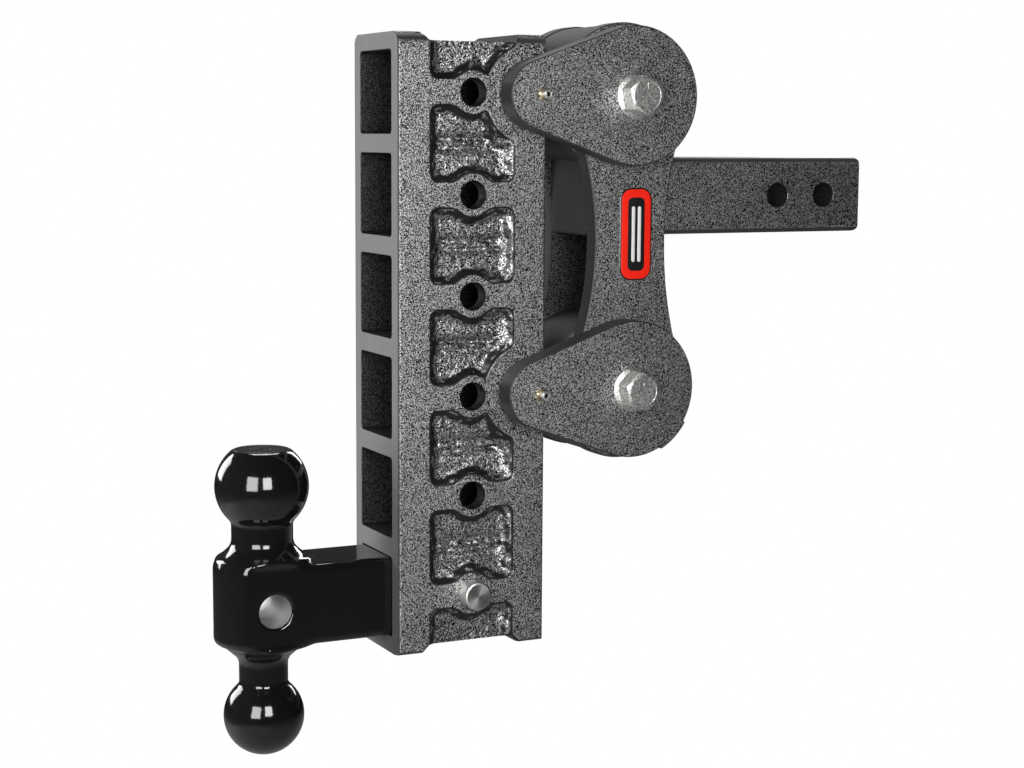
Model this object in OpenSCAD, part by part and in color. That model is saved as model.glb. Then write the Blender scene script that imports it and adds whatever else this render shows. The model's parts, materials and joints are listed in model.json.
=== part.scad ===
// Adjustable drop hitch with a rubber torsion suspension and a two-ball mount.
// X runs along the shank towards the vehicle, Z is up, and the near side is -Y.
// The origin is the middle of the hitch pin hole in the shank.

/* [Shank] */
// Width and height of the solid square shank
shank_w = 50.8; // [48:0.1:51]
// Corner rounding of the shank
shank_corner_r = 5; // [2:0.5:8]
// Length of the shank behind the hitch pin hole, towards the vehicle
shank_tail = 67; // [60:1:90]
// Distance from the hitch pin hole to the second pin hole
second_hole_x = 37.3; // [34:0.1:45]
// Diameter of every pin hole
pin_hole_d = 17; // [16.2:0.1:18]

/* [Suspension] */
// Distance from the hitch pin hole to the two torsion axes
torsion_setback = 127; // [125:1:135]
// Height between the upper and the lower torsion axis
axis_spacing = 188; // [184:1:192]
// Height of the middle between the torsion axes
axis_mid_z = -29.35; // [-32:0.05:-26]
// Length of an arm between its two axes
arm_len = 67; // [67:0.5:69]
// Radius of the big end of an arm
arm_big_r = 44.4; // [42:0.1:45]
// Radius of the small end of an arm
arm_small_r = 21.9; // [20:0.1:23]
// Thickness of an arm
arm_t = 16.4; // [15:0.1:18]
// Radius of the round heads of the side plates
head_r = 47; // [46:0.1:47]
// Thickness of a side plate
side_plate_t = 12.7; // [11:0.1:13]
// Width of the waist of a side plate
waist_w = 51.4; // [45:0.1:56]
// Side of the square torsion bar
torsion_bar_w = 36; // [34:0.5:37]

/* [Column] */
// Distance from the front face of the column to the arm pivots
pivot_inset = 90; // [89:0.5:92]
// Depth of the column, front to back
column_depth = 101.6; // [100:0.1:102]
// Outer width of one square receiver tube
tube_w = 63.5; // [63:0.1:64]
// Wall of a receiver tube
tube_wall = 6.05; // [5.8:0.05:6.2]
// Thickness of the outer plates and of the end bars
casing_t = 4.75; // [4:0.05:5]
// Height of the middle of the top receiver
top_receiver_z = 65.7; // [64:0.1:67]

/* [Ball mount] */
// Diameter of the upper ball
upper_ball_d = 58.74; // [57:0.01:60]
// Diameter of the lower ball
lower_ball_d = 50.8; // [49:0.01:52]
// Distance from the front face of the column to the ball axis
ball_reach = 77.1; // [70:0.1:90]
// Height of each ball above or below the middle of the mount
ball_offset = 73.2; // [72:0.1:78]

/* [Hidden] */
$fn = 96;
gap = 0.5;
nudge = 0.05;
tube_count = 6;
upper_z = axis_mid_z + axis_spacing / 2;
lower_z = axis_mid_z - axis_spacing / 2;
torsion_x = -torsion_setback;
pivot_x = torsion_x - arm_len;
front_x = pivot_x - pivot_inset;
back_x = front_x + column_depth;
pin_x = front_x + column_depth / 2;
pin_z = [for (i = [0 : tube_count - 1]) top_receiver_z - i * tube_w];
mount_z = pin_z[tube_count - 1];
column_top = pin_z[0] + tube_w / 2 + casing_t;
column_bottom = mount_z - tube_w / 2 - casing_t;
tube_corner_r = 9;
opening_w = tube_w - 2 * tube_wall;
column_half_w = tube_w / 2 + casing_t;
casing_corner_r = 7;
pin_hole_r = pin_hole_d / 2;

// pockets in the column plates
land_half_h = 7.6;
land_ring_r = 13.5;
pivot_land_r = 31;
pocket_x0 = front_x + 21.5;
pocket_x1 = front_x + 80;
pocket_corner_r = 6;
mouth_flare = 5;

// suspension parts
plate_in = shank_w / 2;
plate_out = plate_in + side_plate_t;
arm_in = plate_out + gap;
arm_out = arm_in + arm_t;
socket_end = arm_out - 5;
shoulder_h = 1.6;
shank_front_x = torsion_x - 20;
housing_r = 46;
housing_bore_w = 58;
journal_r = 19;
journal_bush_r = 22;
tenon_w = 26;
cord_r = 9.4;
cord_reach = 27.5;
bolt_r = 7.9;
bolt_af = 23.8;
bolt_flange_r = 14.8;
bolt_flange_h = 3.2;
bolt_head_h = 14.5;
bolt_chamfer_r = 11.2;
pivot_r = 12.7;
pivot_bush_r = 15.9;
boss_r = 17.5;
boss_out = arm_in - 0.35;
tail_x = torsion_x + 31.4;
waist_x = tail_x - waist_w;
waist_arc_r = 203.6;
tail_arc_r = 250;
web_x = torsion_x - 35;
web_w = 79.6;
web_half_h = 78.5;
shoulder_arc = [-62, -31];
label_t = 1;
label_x = [torsion_x - 2.5, torsion_x + 21];
label_z = [-54, 6];
label_corner_r = 7;
grease_hole_r = 2.5;
fitting_hex_r = 4.4;
fitting_hex_h = 2.6;
// height, lower radius, upper radius and length of each turned step of a grease fitting
fitting_steps = [
    [-4.5, 2.4, 2.4, 5], [2.6, 3.3, 1.9, 2.2], [4.8, 1.9, 1.9, 0.8],
    [5.6, 1.9, 2.9, 0.8], [6.4, 2.9, 2.9, 0.6], [7, 2.9, 1.6, 0.9]
];

// ball mount
ball_x = front_x - ball_reach;
mount_body_r = 31;
mount_body_h = 26.5;
mount_edge_h = mount_body_h - 5;
top_shoulder_r = 22;
top_shoulder_h = 9;
low_shoulder_r = 19;
low_shoulder_h = 11;
neck_h = ball_offset - mount_body_h - 8;
neck_top_r = 19.3;
neck_low_r = 15.4;
ball_flat_r = 18;
mount_tail_x = front_x + 76;
cross_hole_r = 10.5;
cross_hole_z = mount_z - 2;

// lock pin
lock_pin_r = 7.95;
pin_head_r = 9.3;
pin_head_h = 10.4;
pin_head_edge = 0.8;
lock_r = 15;
lock_y0 = column_half_w + 1;
lock_y1 = lock_y0 + 34;
core_r = 6.5;
core_y0 = lock_y1 - 9;
groove_r = 6;
groove_y = [lock_y0 + 10, lock_y0 + 14];
keyway_w = 1.6;
keyway_h = 7;
cap_t = 1.8;
cap_skirt = 12;

function arc(cx, cy, r, a0, a1, n) =
    [for (i = [0 : n]) let (a = a0 + (a1 - a0) * i / n) [cx + r * cos(a), cy + r * sin(a)]];

function round_rect(x0, y0, x1, y1, r, n = 6) = concat(
    arc(x1 - r, y1 - r, r, 0, 90, n), arc(x0 + r, y1 - r, r, 90, 180, n),
    arc(x0 + r, y0 + r, r, 180, 270, n), arc(x1 - r, y0 + r, r, 270, 360, n));

function centred_rect(w, h, r, n = 6) = round_rect(-w / 2, -h / 2, w / 2, h / 2, r, n);

// A flat shape drawn in X and Z, from y0 to y1
module slab(y0, y1) {
    translate([0, y1, 0]) rotate([90, 0, 0]) linear_extrude(y1 - y0) children();
}

// A shape drawn in Y and Z, from x0 to x1
module along_x(x0, x1) {
    translate([x0, 0, 0]) rotate([90, 0, 90]) linear_extrude(x1 - x0) children();
}

// A round bar across the hitch, from y0 to y1
module rod(x, z, r, y0, y1) {
    translate([x, y1, z]) rotate([90, 0, 0]) cylinder(r = r, h = y1 - y0);
}

module both_sides() {
    children();
    mirror([0, 1, 0]) children();
}

module through_hole(x, z, r) {
    rod(x, z, r, -100, 100);
}

// ---- hitch body, fixed to the vehicle

module shank() {
    color("dimgray") difference() {
        intersection() {
            along_x(shank_front_x, shank_tail) polygon(centred_rect(shank_w, shank_w, shank_corner_r));
            slab(-shank_w, shank_w)
                polygon(round_rect(shank_front_x, -shank_w / 2, shank_tail, shank_w / 2, 3));
        }
        through_hole(0, 0, pin_hole_r);
        through_hole(second_hole_x, 0, pin_hole_r);
        through_hole(torsion_x, upper_z, housing_r + nudge);
    }
}

module side_plate_outline() {
    difference() {
        union() {
            for (z = [upper_z, lower_z]) translate([torsion_x, z]) circle(head_r);
            translate([web_x, axis_mid_z - web_half_h]) square([web_w, 2 * web_half_h]);
        }
        translate([waist_x - waist_arc_r, axis_mid_z]) circle(waist_arc_r, $fn = 200);
        translate([tail_x + tail_arc_r, axis_mid_z]) circle(tail_arc_r, $fn = 200);
        for (z = [upper_z, lower_z]) translate([torsion_x, z]) circle(journal_bush_r);
    }
}

module side_plate() {
    color("dimgray") slab(plate_in, plate_out) side_plate_outline();
}

module torsion_housing(z) {
    color("dimgray") slab(-plate_in, plate_in) translate([torsion_x, z]) difference() {
        circle(housing_r);
        square(housing_bore_w, center = true);
    }
}

module journal_bushings() {
    color("peru") both_sides() for (z = [upper_z, lower_z])
        difference() {
            rod(torsion_x, z, journal_bush_r, plate_in, plate_out);
            rod(torsion_x, z, journal_r + nudge, plate_in - 1, plate_out + 1);
        }
}

module label_plate() {
    color("red") slab(-plate_out - label_t, -plate_out)
        polygon(round_rect(label_x[0], label_z[0], label_x[1], label_z[1], label_corner_r));
}

module rubber_cords(z) {
    color("black") for (a = [45 : 90 : 315])
        rod(torsion_x + cord_reach * cos(a), z + cord_reach * sin(a), cord_r, -25, 25);
}

// ---- arms and what turns with them

// Teardrop of two circles joined by lines that run just inside their tangents
module arm_outline() {
    lean = asin((arm_big_r - arm_small_r) / arm_len);
    up = [-sin(lean), cos(lean)];
    big = arm_big_r - nudge;
    small = arm_small_r - nudge;
    circle(arm_big_r);
    translate([-arm_len, 0]) circle(arm_small_r);
    polygon([
        [big * up[0], big * up[1]], [-arm_len + small * up[0], small * up[1]],
        [-arm_len + small * up[0], -small * up[1]], [big * up[0], -big * up[1]]
    ]);
}

// Raised shoulder on the rim of a lower arm
module stop_shoulder() {
    polygon(concat([[0, 0]], arc(0, 0, arm_big_r + shoulder_h, shoulder_arc[0], shoulder_arc[1], 10)));
}

module arm(z, shoulder = false) {
    color("dimgray") difference() {
        slab(arm_in, arm_out) translate([torsion_x, z]) {
            arm_outline();
            if (shoulder) stop_shoulder();
        }
        slab(arm_in - 1, socket_end) translate([torsion_x, z])
            square(tenon_w + 2 * nudge, center = true);
        rod(torsion_x, z, bolt_r + 0.4, arm_in, arm_out + 1);
        rod(pivot_x, z, pivot_bush_r, arm_in - 1, socket_end);
        rod(pivot_x, z, grease_hole_r, arm_in, arm_out + 1);
    }
}

module torsion_bar(z) {
    color("silver") difference() {
        union() {
            slab(-plate_in + 0.2, plate_in - 0.2) translate([torsion_x, z]) rotate(45)
                square(torsion_bar_w, center = true);
            both_sides() rod(torsion_x, z, journal_r, plate_in - 0.2, arm_in);
            both_sides() slab(plate_in, socket_end - 0.2) translate([torsion_x, z])
                square(tenon_w, center = true);
        }
        both_sides() rod(torsion_x, z, bolt_r + nudge, 22, socket_end + 1);
    }
}

// Flange bolt with its head on the outer face of an arm
module arm_bolt(z) {
    hex_r = bolt_af / 2 / cos(30);
    translate([torsion_x, arm_out, z]) rotate([-90, 0, 0]) {
        translate([0, 0, -30]) cylinder(r = bolt_r, h = 30);
        cylinder(r = bolt_flange_r, h = 1.4);
        translate([0, 0, 1.4]) cylinder(r1 = bolt_flange_r, r2 = 12.6, h = bolt_flange_h - 1.4);
        rotate(12) intersection() {
            translate([0, 0, 1]) cylinder(r = hex_r, h = bolt_head_h - 1, $fn = 6);
            cylinder(r1 = bolt_chamfer_r + bolt_head_h, r2 = bolt_chamfer_r, h = bolt_head_h);
        }
    }
}

module arm_bolts(z) {
    color("silver") both_sides() arm_bolt(z);
}

module grease_fitting(z) {
    translate([pivot_x, arm_out, z]) rotate([-90, 0, 0]) {
        cylinder(r = fitting_hex_r, h = fitting_hex_h, $fn = 6);
        for (s = fitting_steps) translate([0, 0, s[0]]) cylinder(r1 = s[1], r2 = s[2], h = s[3]);
    }
}

module grease_fittings(z) {
    color("goldenrod") both_sides() grease_fitting(z);
}

module pivot_bushings(z) {
    color("peru") both_sides() difference() {
        rod(pivot_x, z, pivot_bush_r, arm_in + 0.1, socket_end);
        rod(pivot_x, z, pivot_r + nudge, arm_in - 1, socket_end + 1);
    }
}

// ---- column

module pin_holes() {
    for (z = pin_z) through_hole(pin_x, z, pin_hole_r);
}

module receiver_tube(i) {
    color("dimgray") difference() {
        along_x(front_x, back_x) translate([0, pin_z[i]]) difference() {
            polygon(centred_rect(tube_w, tube_w, tube_corner_r));
            polygon(centred_rect(opening_w, opening_w, 2.5, 4));
        }
        pin_holes();
    }
}

// Weld metal in the valley between two stacked tubes
module tube_seam_welds() {
    color("gray") both_sides() for (i = [0 : tube_count - 2])
        along_x(front_x, back_x) difference() {
            translate([tube_w / 2 - tube_corner_r + 1, pin_z[i] - tube_w / 2 - tube_corner_r])
                square([tube_corner_r - 1, 2 * tube_corner_r]);
            for (k = [i, i + 1]) translate([0, pin_z[k]])
                polygon(centred_rect(tube_w, tube_w, tube_corner_r));
        }
}

module casing_envelope() {
    along_x(front_x, back_x) translate([0, (column_top + column_bottom) / 2])
        polygon(centred_rect(2 * column_half_w, column_top - column_bottom, casing_corner_r));
}

module pocket(z0, z1) {
    polygon(round_rect(pocket_x0, z0, pocket_x1, z1, pocket_corner_r));
}

// Sloping mouth of a pocket that is open at the end of the column
module pocket_mouth(z) {
    polygon([
        [pocket_x0, z - mouth_flare], [pocket_x1, z - mouth_flare],
        [pocket_x1 + mouth_flare, z + 1], [pocket_x0 - mouth_flare, z + 1]
    ]);
}

module pockets() {
    difference() {
        union() {
            for (i = [0 : tube_count - 2]) pocket(pin_z[i + 1] + land_half_h, pin_z[i] - land_half_h);
            pocket(pin_z[0] + land_half_h, column_top + 10);
            pocket(column_bottom - 10, mount_z - land_half_h);
            pocket_mouth(column_top);
            translate([0, column_bottom]) mirror([0, 1]) pocket_mouth(0);
        }
        for (z = pin_z) translate([pin_x, z]) circle(land_ring_r);
        for (z = [upper_z, lower_z]) translate([pivot_x, z]) circle(pivot_land_r);
    }
}

module column_plate() {
    color("dimgray") difference() {
        intersection() {
            slab(tube_w / 2, column_half_w) difference() {
                translate([front_x, column_bottom])
                    square([column_depth, column_top - column_bottom]);
                pockets();
            }
            casing_envelope();
        }
        pin_holes();
        for (z = [upper_z, lower_z]) through_hole(pivot_x, z, boss_r);
    }
}

// Bars across the top and bottom of the tube stack, front and back
module column_end_bars() {
    profiles = [
        [[front_x, 0], [pocket_x0 - 1, 0], [pocket_x0 - mouth_flare, casing_t], [front_x, casing_t]],
        [[back_x, 0], [pocket_x1 + 1, 0], [pocket_x1 + mouth_flare, casing_t], [back_x, casing_t]]
    ];
    color("dimgray") intersection() {
        for (p = profiles) {
            slab(-tube_w / 2, tube_w / 2) translate([0, column_top - casing_t]) polygon(p);
            slab(-tube_w / 2, tube_w / 2) translate([0, column_bottom + casing_t]) mirror([0, 1]) polygon(p);
        }
        casing_envelope();
    }
}

module pivot_bosses() {
    color("dimgray") both_sides() for (z = [upper_z, lower_z])
        difference() {
            rod(pivot_x, z, boss_r, tube_w / 2, boss_out);
            rod(pivot_x, z, pivot_r, tube_w / 2 - 1, boss_out + 1);
        }
}

module pivot_pins() {
    color("silver") both_sides() for (z = [upper_z, lower_z])
        rod(pivot_x, z, pivot_r, tube_w / 2, socket_end - 0.3);
}

// ---- ball mount and its lock pin

module mount_body() {
    intersection() {
        union() {
            cylinder(r = mount_body_r, h = 2 * mount_edge_h, center = true);
            translate([0, 0, mount_edge_h])
                cylinder(r1 = mount_body_r, r2 = top_shoulder_r, h = top_shoulder_h);
            mirror([0, 0, 1]) translate([0, 0, mount_edge_h])
                cylinder(r1 = mount_body_r, r2 = low_shoulder_r, h = low_shoulder_h);
        }
        cube([100, shank_w, 100], center = true);
    }
}

// Neck that flares out into the shoulder, from height 0 up to the ball
module neck(r, flare_r, flare_h, h) {
    rotate_extrude() polygon(concat(
        [[0, 0]],
        [for (i = [0 : 8]) let (a = 90 * i / 8)
            [r + (flare_r - r) * (1 - sin(a)), flare_h * (1 - cos(a))]],
        [[r, h], [0, h]]));
}

module ball_mount() {
    upper_flat_h = sqrt(pow(upper_ball_d / 2, 2) - pow(ball_flat_r, 2));
    color("black") difference() {
        union() {
            translate([ball_x, 0, mount_z]) {
                mount_body();
                translate([0, 0, mount_body_h + 1]) neck(neck_top_r, 24, 12, neck_h);
                mirror([0, 0, 1]) translate([0, 0, mount_body_h + 3]) neck(neck_low_r, 21, 10, neck_h);
                difference() {
                    translate([0, 0, ball_offset]) sphere(d = upper_ball_d);
                    translate([-50, -50, ball_offset + upper_flat_h]) cube([100, 100, 20]);
                }
                translate([0, 0, -ball_offset]) sphere(d = lower_ball_d);
            }
            along_x(ball_x, mount_tail_x) translate([0, mount_z])
                polygon(centred_rect(shank_w, shank_w, shank_corner_r));
        }
        through_hole(ball_x, cross_hole_z, cross_hole_r);
        through_hole(pin_x, mount_z, pin_hole_r);
    }
}

module lock_pin() {
    head_y = -column_half_w - pin_head_h;
    color("silver") difference() {
        union() {
            rod(pin_x, mount_z, lock_pin_r, -column_half_w - 1, lock_y0 + 20);
            rod(pin_x, mount_z, pin_head_r, head_y + pin_head_edge, -column_half_w - 0.1);
            translate([pin_x, head_y + pin_head_edge, mount_z]) rotate([90, 0, 0])
                cylinder(r1 = pin_head_r, r2 = pin_head_r - pin_head_edge, h = pin_head_edge);
        }
        difference() {
            rod(pin_x, mount_z, pin_head_r, groove_y[0], groove_y[1]);
            rod(pin_x, mount_z, groove_r, groove_y[0] - 1, groove_y[1] + 1);
        }
    }
}

module lock_barrel() {
    color("dimgray") difference() {
        union() {
            rod(pin_x, mount_z, lock_r, lock_y0, lock_y1 - 1);
            translate([pin_x, lock_y1 - 1, mount_z]) rotate([-90, 0, 0])
                cylinder(r1 = lock_r, r2 = lock_r - 1, h = 1);
        }
        rod(pin_x, mount_z, lock_pin_r + 0.1, lock_y0 - 1, lock_y0 + 21);
        rod(pin_x, mount_z, core_r + nudge, core_y0, lock_y1 + 1);
    }
}

module lock_core() {
    color("gold") difference() {
        rod(pin_x, mount_z, core_r, core_y0 + 0.2, lock_y1 - 0.5);
        translate([pin_x - keyway_w / 2, lock_y1 - 4, mount_z - keyway_h / 2])
            cube([keyway_w, 5, keyway_h]);
    }
}

module dust_cap() {
    color("black") difference() {
        union() {
            rod(pin_x, mount_z, lock_r + cap_t, lock_y1 - cap_skirt, lock_y1 + 1.5);
            translate([pin_x, lock_y1 + 1.5, mount_z]) rotate([-90, 0, 0])
                cylinder(r1 = lock_r + cap_t, r2 = lock_r, h = 1.2);
        }
        rod(pin_x, mount_z, lock_r + nudge, lock_y1 - cap_skirt - 1, lock_y1 + 0.2);
    }
}

shank();
mirror([0, 1, 0]) side_plate();  // side_plate_near
side_plate();  // side_plate_far
torsion_housing(upper_z);  // upper_torsion_housing
torsion_housing(lower_z);  // lower_torsion_housing
journal_bushings();
label_plate();
rubber_cords(upper_z);  // upper_rubber_cords
rubber_cords(lower_z);  // lower_rubber_cords
mirror([0, 1, 0]) arm(upper_z);  // upper_arm_near
arm(upper_z);  // upper_arm_far
torsion_bar(upper_z);  // upper_torsion_bar
arm_bolts(upper_z);  // upper_arm_bolts
grease_fittings(upper_z);  // upper_grease_fittings
pivot_bushings(upper_z);  // upper_pivot_bushings
mirror([0, 1, 0]) arm(lower_z, true);  // lower_arm_near
arm(lower_z, true);  // lower_arm_far
torsion_bar(lower_z);  // lower_torsion_bar
arm_bolts(lower_z);  // lower_arm_bolts
grease_fittings(lower_z);  // lower_grease_fittings
pivot_bushings(lower_z);  // lower_pivot_bushings
receiver_tube(0);  // receiver_tube_1
receiver_tube(1);  // receiver_tube_2
receiver_tube(2);  // receiver_tube_3
receiver_tube(3);  // receiver_tube_4
receiver_tube(4);  // receiver_tube_5
receiver_tube(5);  // receiver_tube_6
tube_seam_welds();
mirror([0, 1, 0]) column_plate();  // column_plate_near
column_plate();  // column_plate_far
column_end_bars();
pivot_bosses();
pivot_pins();
ball_mount();
lock_pin();
lock_barrel();
lock_core();
dust_cap();
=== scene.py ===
"""Looks of the adjustable drop hitch: rounded edges, weld beads and a finish on every part."""
import json
import math

import bmesh
import bpy
import numpy as np
from mathutils import Matrix, Vector

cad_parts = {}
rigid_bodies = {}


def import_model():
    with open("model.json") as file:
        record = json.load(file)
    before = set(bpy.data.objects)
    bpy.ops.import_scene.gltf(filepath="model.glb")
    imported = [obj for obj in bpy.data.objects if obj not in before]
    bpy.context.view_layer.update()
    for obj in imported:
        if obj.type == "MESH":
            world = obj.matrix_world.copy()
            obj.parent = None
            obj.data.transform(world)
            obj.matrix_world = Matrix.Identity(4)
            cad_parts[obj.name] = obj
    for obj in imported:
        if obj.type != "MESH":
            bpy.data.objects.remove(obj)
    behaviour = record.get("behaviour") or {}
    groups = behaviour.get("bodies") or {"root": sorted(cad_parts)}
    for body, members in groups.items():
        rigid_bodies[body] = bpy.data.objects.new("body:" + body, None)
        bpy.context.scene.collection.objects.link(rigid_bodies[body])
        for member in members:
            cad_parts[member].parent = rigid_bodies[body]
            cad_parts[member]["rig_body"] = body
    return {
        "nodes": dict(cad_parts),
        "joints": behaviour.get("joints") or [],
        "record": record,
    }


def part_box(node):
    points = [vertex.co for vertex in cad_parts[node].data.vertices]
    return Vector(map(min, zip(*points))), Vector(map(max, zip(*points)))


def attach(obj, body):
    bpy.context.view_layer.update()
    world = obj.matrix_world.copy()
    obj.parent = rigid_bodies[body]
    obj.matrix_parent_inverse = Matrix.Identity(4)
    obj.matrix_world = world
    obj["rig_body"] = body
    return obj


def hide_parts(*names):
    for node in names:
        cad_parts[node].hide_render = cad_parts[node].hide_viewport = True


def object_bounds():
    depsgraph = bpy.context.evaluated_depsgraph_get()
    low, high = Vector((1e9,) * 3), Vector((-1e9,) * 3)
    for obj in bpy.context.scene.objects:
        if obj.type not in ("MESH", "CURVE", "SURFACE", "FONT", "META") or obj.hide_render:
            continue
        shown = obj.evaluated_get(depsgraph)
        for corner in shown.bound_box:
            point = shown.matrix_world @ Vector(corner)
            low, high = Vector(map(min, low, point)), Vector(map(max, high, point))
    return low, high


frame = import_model()
cad_low, cad_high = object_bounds()
NODES = frame["nodes"]
JOINTS = {j["name"]: j for j in frame["joints"]}
MOUNTS = {m["name"]: Vector(m["pos_m"]) for m in frame["record"]["mounts"]}
MM = 0.001


# ---- places, all from the frame

UPPER_AXIS = Vector(JOINTS["upper_torsion"]["pos_m"])
LOWER_AXIS = Vector(JOINTS["lower_torsion"]["pos_m"])
UPPER_PIVOT = Vector(JOINTS["column_pivot"]["pos_m"])
LOWER_PIVOT = UPPER_PIVOT + LOWER_AXIS - UPPER_AXIS
PIN_AXIS = Vector(JOINTS["key_turn"]["pos_m"])
BALL_AXIS_X = MOUNTS["upper_ball"].x


# ---- node graph helpers

def new_material(name):
    """A material, its node tree and its shader."""
    material = bpy.data.materials.new(name)
    material.use_nodes = True
    tree = material.node_tree
    return material, tree, tree.nodes["Principled BSDF"]


def set_shader(shader, **values):
    for name, value in values.items():
        shader.inputs[name.replace("_", " ")].default_value = value


def add(tree, kind, **inputs):
    """A node with its input sockets set by name; a socket as a value becomes a link."""
    node = tree.nodes.new(kind)
    for name, value in inputs.items():
        socket = node.inputs[name.replace("_", " ")]
        if isinstance(value, bpy.types.NodeSocket):
            tree.links.new(value, socket)
        else:
            socket.default_value = value
    return node


def noise(tree, coords, scale, detail=2.0, roughness=0.5, distortion=0.0):
    node = add(tree, "ShaderNodeTexNoise", Vector=coords, Scale=scale, Detail=detail,
               Roughness=roughness, Distortion=distortion)
    return node.outputs["Fac"]


def remap(tree, value, low, high, to_low=0.0, to_high=1.0):
    node = add(tree, "ShaderNodeMapRange", Value=value, From_Min=low, From_Max=high,
               To_Min=to_low, To_Max=to_high)
    return node.outputs["Result"]


def math_node(tree, operation, a, b=0.0):
    node = tree.nodes.new("ShaderNodeMath")
    node.operation = operation
    for socket, value in zip(node.inputs, (a, b)):
        if isinstance(value, bpy.types.NodeSocket):
            tree.links.new(value, socket)
        else:
            socket.default_value = value
    return node.outputs["Value"]


def ramp(tree, value, stops):
    """A colour ramp through (position, grey or rgb) stops."""
    node = add(tree, "ShaderNodeValToRGB", Fac=value)
    elements = node.color_ramp.elements
    while len(elements) < len(stops):
        elements.new(0.5)
    for element, (position, colour) in zip(elements, stops):
        rgb = (colour,) * 3 if isinstance(colour, float) else colour
        element.position = position
        element.color = (*rgb, 1.0)
    return node.outputs["Color"]


def mix(tree, factor, a, b):
    node = tree.nodes.new("ShaderNodeMix")
    node.data_type = "RGBA"
    for socket, value in ((node.inputs[0], factor), (node.inputs[6], a), (node.inputs[7], b)):
        if isinstance(value, bpy.types.NodeSocket):
            tree.links.new(value, socket)
        else:
            socket.default_value = value
    return node.outputs[2]


def bump(tree, shader, height, strength, distance):
    node = add(tree, "ShaderNodeBump", Height=height, Strength=strength, Distance=distance)
    tree.links.new(node.outputs["Normal"], shader.inputs["Normal"])


def object_coords(tree):
    return tree.nodes.new("ShaderNodeTexCoord").outputs["Object"]


def facing(tree, axis):
    """How squarely the surface faces along an axis of the piece, 0 to 1, either way."""
    normal = tree.nodes.new("ShaderNodeTexCoord").outputs["Normal"]
    parts = add(tree, "ShaderNodeSeparateXYZ", Vector=normal)
    return math_node(tree, "ABSOLUTE", parts.outputs[axis])


# ---- materials

def hammer_paint(name, pale=0.79, front_shading_grey=0.02, speckle=1500.0, mask=(0.9, 0.99), gloss=0.42,
                 film=0.035, film_metal=0.0, film_rough=0.5):
    """Silver-vein powder coat: pale flakes between dark veins on flat faces, plain film on cut edges. The
    dark film is partly painted shade for faces turned away from the lamps, and faces along X take a front
    grey set per copy: painted light on the column, painted shade elsewhere.
    """
    material, tree, shader = new_material(name)
    coords = object_coords(tree)
    oblique = add(tree, "ShaderNodeMapping", Vector=coords, Rotation=(0.62, 0.47, 0.83))
    veins = noise(tree, oblique.outputs["Vector"], speckle, detail=1.0, roughness=0.5, distortion=0.35)
    clouds = noise(tree, coords, 26.0, detail=2.0)
    streaks = add(tree, "ShaderNodeMapping", Vector=coords, Scale=(300.0, 900.0, 26.0))
    milled = noise(tree, streaks.outputs["Vector"], 1.0, detail=3.0)
    flakes = ramp(tree, veins, [(0.455, 0.004), (0.50, pale * 0.22), (0.555, pale)])
    film = ramp(tree, clouds, [(0.35, film * 0.8), (0.65, film * 1.2)])
    # Painted light and shade: faces along X take a grey chosen for how lit they look, lighter on the
    # column's front and darker on the arms' noses.
    front = ramp(tree, milled, [(0.3, front_shading_grey * 0.92), (0.7, front_shading_grey * 1.08)])
    frontal = remap(tree, facing(tree, "X"), 0.93, 0.99)
    edge = mix(tree, frontal, film, front)
    # Painted shade in part: cut and rounded edges get the dark plain film, which stands for smoother paint
    # there and for the shade on faces turned from the lamps.
    face = remap(tree, facing(tree, "Y"), *mask)
    tree.links.new(mix(tree, face, edge, flakes), shader.inputs["Base Color"])
    tree.links.new(remap(tree, face, 0.0, 1.0, film_metal, 0.94), shader.inputs["Metallic"])
    matt = remap(tree, frontal, 0.0, 1.0, film_rough, 0.85)
    tree.links.new(mix(tree, face, matt, (gloss, gloss, gloss, 1.0)), shader.inputs["Roughness"])
    relief = math_node(tree, "MULTIPLY", veins, remap(tree, face, 0.0, 1.0, 0.12, 1.0))
    bump(tree, shader, relief, 0.5, 0.0007)
    return material


def bore_shade_paint():
    """Painted shade: very dark speckled paint inside the receivers and pin holes."""
    material, tree, shader = new_material("bore_shade_paint")
    veins = noise(tree, object_coords(tree), 1100.0, detail=1.0)
    tree.links.new(ramp(tree, veins, [(0.44, 0.006), (0.6, 0.06)]), shader.inputs["Base Color"])
    bump(tree, shader, veins, 0.5, 0.0005)
    set_shader(shader, Metallic=0.5, Roughness=0.45)
    return material


def gloss_black():
    material, tree, shader = new_material("gloss_black")
    coords = object_coords(tree)
    peel = noise(tree, coords, 140.0, detail=1.0)
    dust = noise(tree, coords, 900.0, detail=2.0, roughness=0.7)
    scuffs = ramp(tree, dust, [(0.70, 0.006), (0.78, 0.03)])
    tree.links.new(scuffs, shader.inputs["Base Color"])
    tree.links.new(remap(tree, dust, 0.4, 0.8, 0.07, 0.2), shader.inputs["Roughness"])
    bump(tree, shader, peel, 0.06, 0.0006)
    set_shader(shader, Specular_IOR_Level=0.5, Coat_Weight=0.6, Coat_Roughness=0.05)
    return material


def metal(name, colour, roughness, depth=0.08, metallic=1.0, mottle=0.0):
    """Plated or machined metal with a fine grain and slow stains, or small spangles if it is mottled."""
    material, tree, shader = new_material(name)
    coords = object_coords(tree)
    fine = noise(tree, coords, 1040.0, detail=3.0, roughness=0.65)
    if mottle:
        stains = noise(tree, coords, 832.0, detail=2.0, roughness=0.7)
    else:
        stains = noise(tree, coords, 78.0, detail=2.0)
    darker = tuple(c * (0.8 - mottle) for c in colour)
    tree.links.new(ramp(tree, stains, [(0.38, darker), (0.6, colour)]), shader.inputs["Base Color"])
    tree.links.new(remap(tree, fine, 0.3, 0.7, roughness * 0.7, roughness * 1.4), shader.inputs["Roughness"])
    bump(tree, shader, fine, depth, 0.0003)
    set_shader(shader, Metallic=metallic)
    return material


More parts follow.
